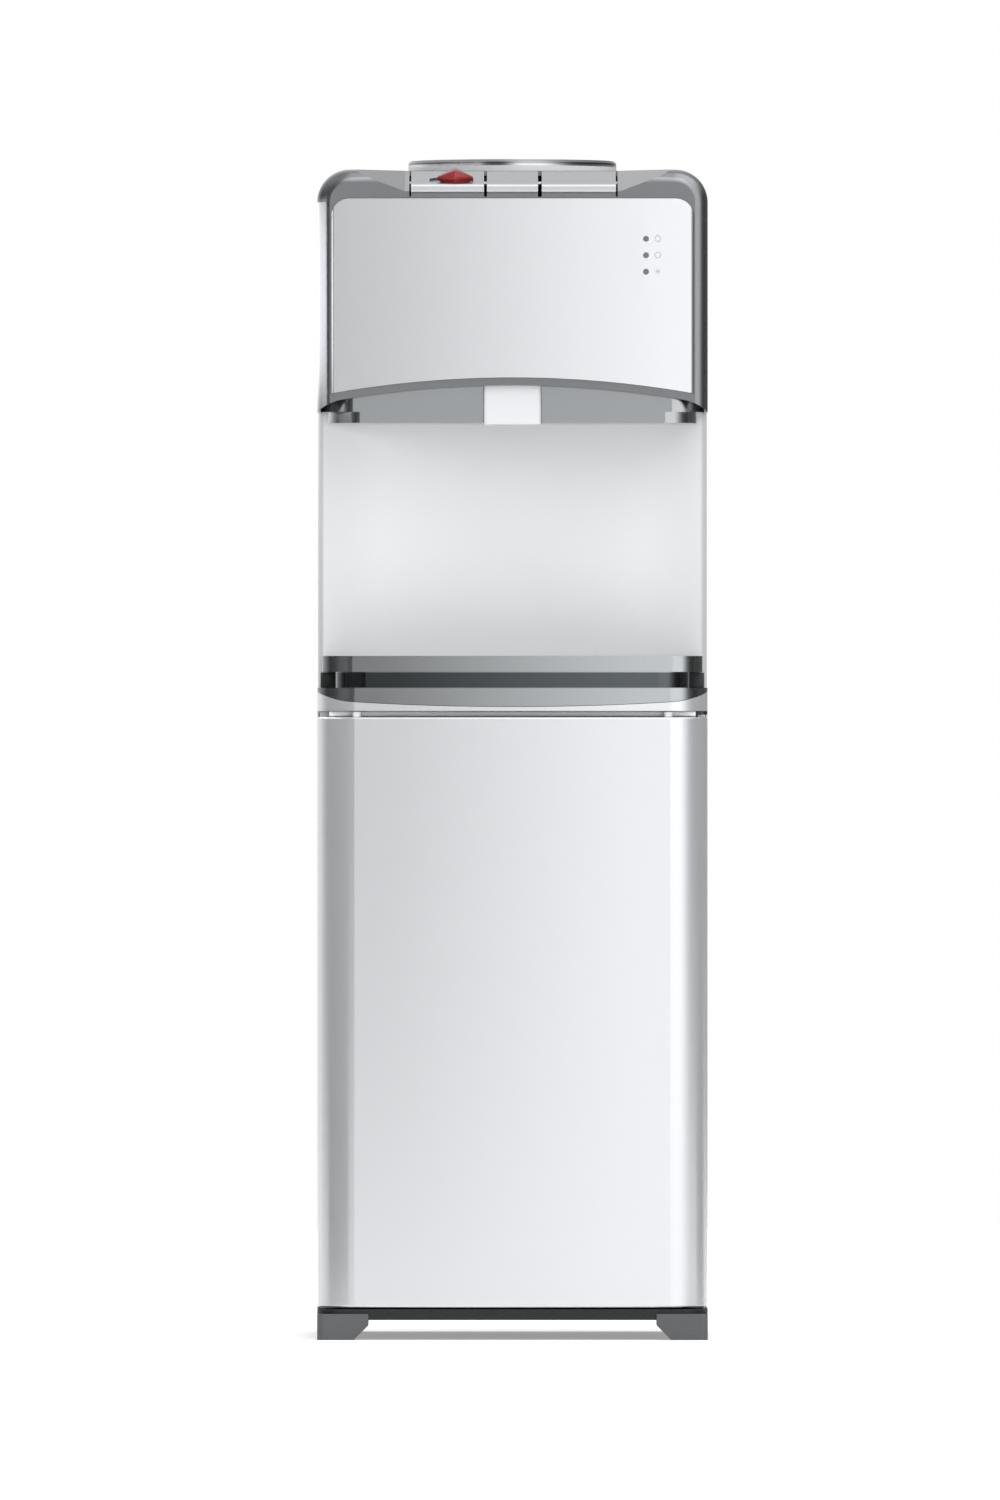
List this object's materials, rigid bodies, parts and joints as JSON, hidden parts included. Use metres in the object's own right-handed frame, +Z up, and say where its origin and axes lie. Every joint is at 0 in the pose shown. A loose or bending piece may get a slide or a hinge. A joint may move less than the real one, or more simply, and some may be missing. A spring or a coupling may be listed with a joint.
{
  "type": "water dispenser",
  "caption": "Floor-standing hot and cold water dispenser with push keys, open cup niche, pull-out drip tray and a lower storage cabinet door.",
  "frame": {"origin": "on the floor under the middle of the body", "axes": "+Z up, front towards -Y, +X to the right seen from the front"},
  "size_m": [0.32, 0.34, 0.9695],
  "materials": {
    "silver_paint": "satin silver lacquer on moulded plastic",
    "pale_plastic": "satin moulded plastic",
    "grey_plastic": "satin moulded plastic",
    "key_plastic": "satin moulded plastic",
    "white_plastic": "gloss moulded plastic",
    "dark_plastic": "gloss moulded plastic",
    "black_plastic": "fine moulded grain",
    "foot_plastic": "fine moulded grain",
    "red_plastic": "gloss moulded plastic",
    "green_plastic": "gloss moulded plastic",
    "plunger_plastic": "smooth moulded plastic",
    "coated_sheet": "powder coat",
    "zinc_sheet": "galvanised",
    "steel": "drawn steel",
    "black_steel": "black enamel",
    "copper": "drawn copper",
    "foam": "expanded bead foam",
    "rubber": "soft matt",
    "tube_rubber": "milky silicone",
    "lamp": "smoked clear",
    "board": "board lacquer"
  },
  "bodies": {
    "cabinet": {"front_panel": "silver_paint", "apron": "silver_paint", "splash_back": "pale_plastic", "head_shell": "grey_plastic", "underbody": "grey_plastic", "spout_block": "white_plastic", "cabinet_liner": "white_plastic", "spout_nozzle": "white_plastic", "valve_manifold": "white_plastic", "valves": "white_plastic", "drain_outlet": "white_plastic", "base_plate": "black_plastic", "condenser_brackets": "black_plastic", "switch_plate": "black_plastic", "cord_gland": "black_plastic", "relay_box": "black_plastic", "drain_cap": "black_plastic", "front_feet": "foot_plastic", "left_side_panel": "coated_sheet", "right_side_panel": "coated_sheet", "back_panel": "zinc_sheet", "partitions": "zinc_sheet", "cold_tank": "steel", "hot_tank": "steel", "band_heater": "steel", "thermostats": "steel", "key_pivot_rod": "steel", "door_hinges": "steel", "compressor_plate": "steel", "panel_screws": "steel", "compressor": "black_steel", "condenser_tube": "black_steel", "condenser_wires": "black_steel", "refrigerant_pipes": "copper", "filter_drier": "copper", "evaporator": "copper", "cold_jacket": "foam", "hot_jacket": "foam", "grommets": "rubber", "rear_feet": "rubber", "water_tubes": "tube_rubber", "indicator_lamps": "lamp", "control_board": "board"},
    "door": {"door_shell": "silver_paint", "door_liner": "white_plastic", "door_gasket": "rubber"},
    "hot_key": {"hot_key": "key_plastic"},
    "normal_key": {"normal_key": "key_plastic"},
    "cold_key": {"cold_key": "key_plastic"},
    "child_lock": {"child_lock": "red_plastic"},
    "hot_plunger": {"hot_plunger": "plunger_plastic"},
    "normal_plunger": {"normal_plunger": "plunger_plastic"},
    "cold_plunger": {"cold_plunger": "plunger_plastic"},
    "drip_tray": {"drip_tray": "grey_plastic"},
    "drip_grille": {"drip_grille": "grey_plastic"},
    "bottle_seat": {"collar_seat": "white_plastic", "bottle_collar": "dark_plastic", "feed_probe": "white_plastic"},
    "hot_switch": {"hot_switch": "red_plastic"},
    "cold_switch": {"cold_switch": "green_plastic"}
  },
  "joints": [
    {"name": "door_swing", "type": "hinge", "parent": "cabinet", "child": "door", "pos_m": [0.148, -0.134, 0.27], "axis": [0, 0, 1], "range_deg": [0, 105]},
    {"name": "hot_key_press", "type": "hinge", "parent": "cabinet", "child": "hot_key", "pos_m": [0, -0.117, 0.9475], "axis": [1, 0, 0], "range_deg": [0, 3.5], "stiffness_Nm_per_rad": 2.3, "springref_deg": -2.86},
    {"name": "hot_plunger_slide", "type": "slide", "parent": "cabinet", "child": "hot_plunger", "axis": [0, 0, -1], "range_m": [0, 0.0025]},
    {"name": "normal_key_press", "type": "hinge", "parent": "cabinet", "child": "normal_key", "pos_m": [0, -0.117, 0.9475], "axis": [1, 0, 0], "range_deg": [0, 3.5], "stiffness_Nm_per_rad": 2.3, "springref_deg": -2.86},
    {"name": "normal_plunger_slide", "type": "slide", "parent": "cabinet", "child": "normal_plunger", "axis": [0, 0, -1], "range_m": [0, 0.0025]},
    {"name": "cold_key_press", "type": "hinge", "parent": "cabinet", "child": "cold_key", "pos_m": [0, -0.117, 0.9475], "axis": [1, 0, 0], "range_deg": [0, 3.5], "stiffness_Nm_per_rad": 2.3, "springref_deg": -2.86},
    {"name": "cold_plunger_slide", "type": "slide", "parent": "cabinet", "child": "cold_plunger", "axis": [0, 0, -1], "range_m": [0, 0.0025]},
    {"name": "child_lock_slide", "type": "slide", "parent": "hot_key", "child": "child_lock", "axis": [-1, 0, 0], "range_m": [0, 0.006], "stiffness_N_per_m": 200, "springref_m": -0.005},
    {"name": "drip_tray_pull", "type": "slide", "parent": "cabinet", "child": "drip_tray", "axis": [0, -1, 0], "range_m": [0, 0.12]},
    {"name": "drip_grille_lift", "type": "slide", "parent": "drip_tray", "child": "drip_grille", "axis": [0, 0, 1], "range_m": [0, 0.05]},
    {"name": "bottle_seat_lift", "type": "slide", "parent": "cabinet", "child": "bottle_seat", "axis": [0, 0, 1], "range_m": [0, 0.06]},
    {"name": "hot_switch_rock", "type": "hinge", "parent": "cabinet", "child": "hot_switch", "pos_m": [0.07, 0.142, 0.8625], "axis": [1, 0, 0], "range_deg": [0, 14]},
    {"name": "cold_switch_rock", "type": "hinge", "parent": "cabinet", "child": "cold_switch", "pos_m": [0.098, 0.142, 0.8625], "axis": [1, 0, 0], "range_deg": [0, 14]}
  ],
  "couplings": [
    {"joint": "hot_plunger_slide", "follows": "hot_key_press", "m_per_rad": 0.032},
    {"joint": "normal_plunger_slide", "follows": "normal_key_press", "m_per_rad": 0.032},
    {"joint": "cold_plunger_slide", "follows": "cold_key_press", "m_per_rad": 0.032}
  ]
}
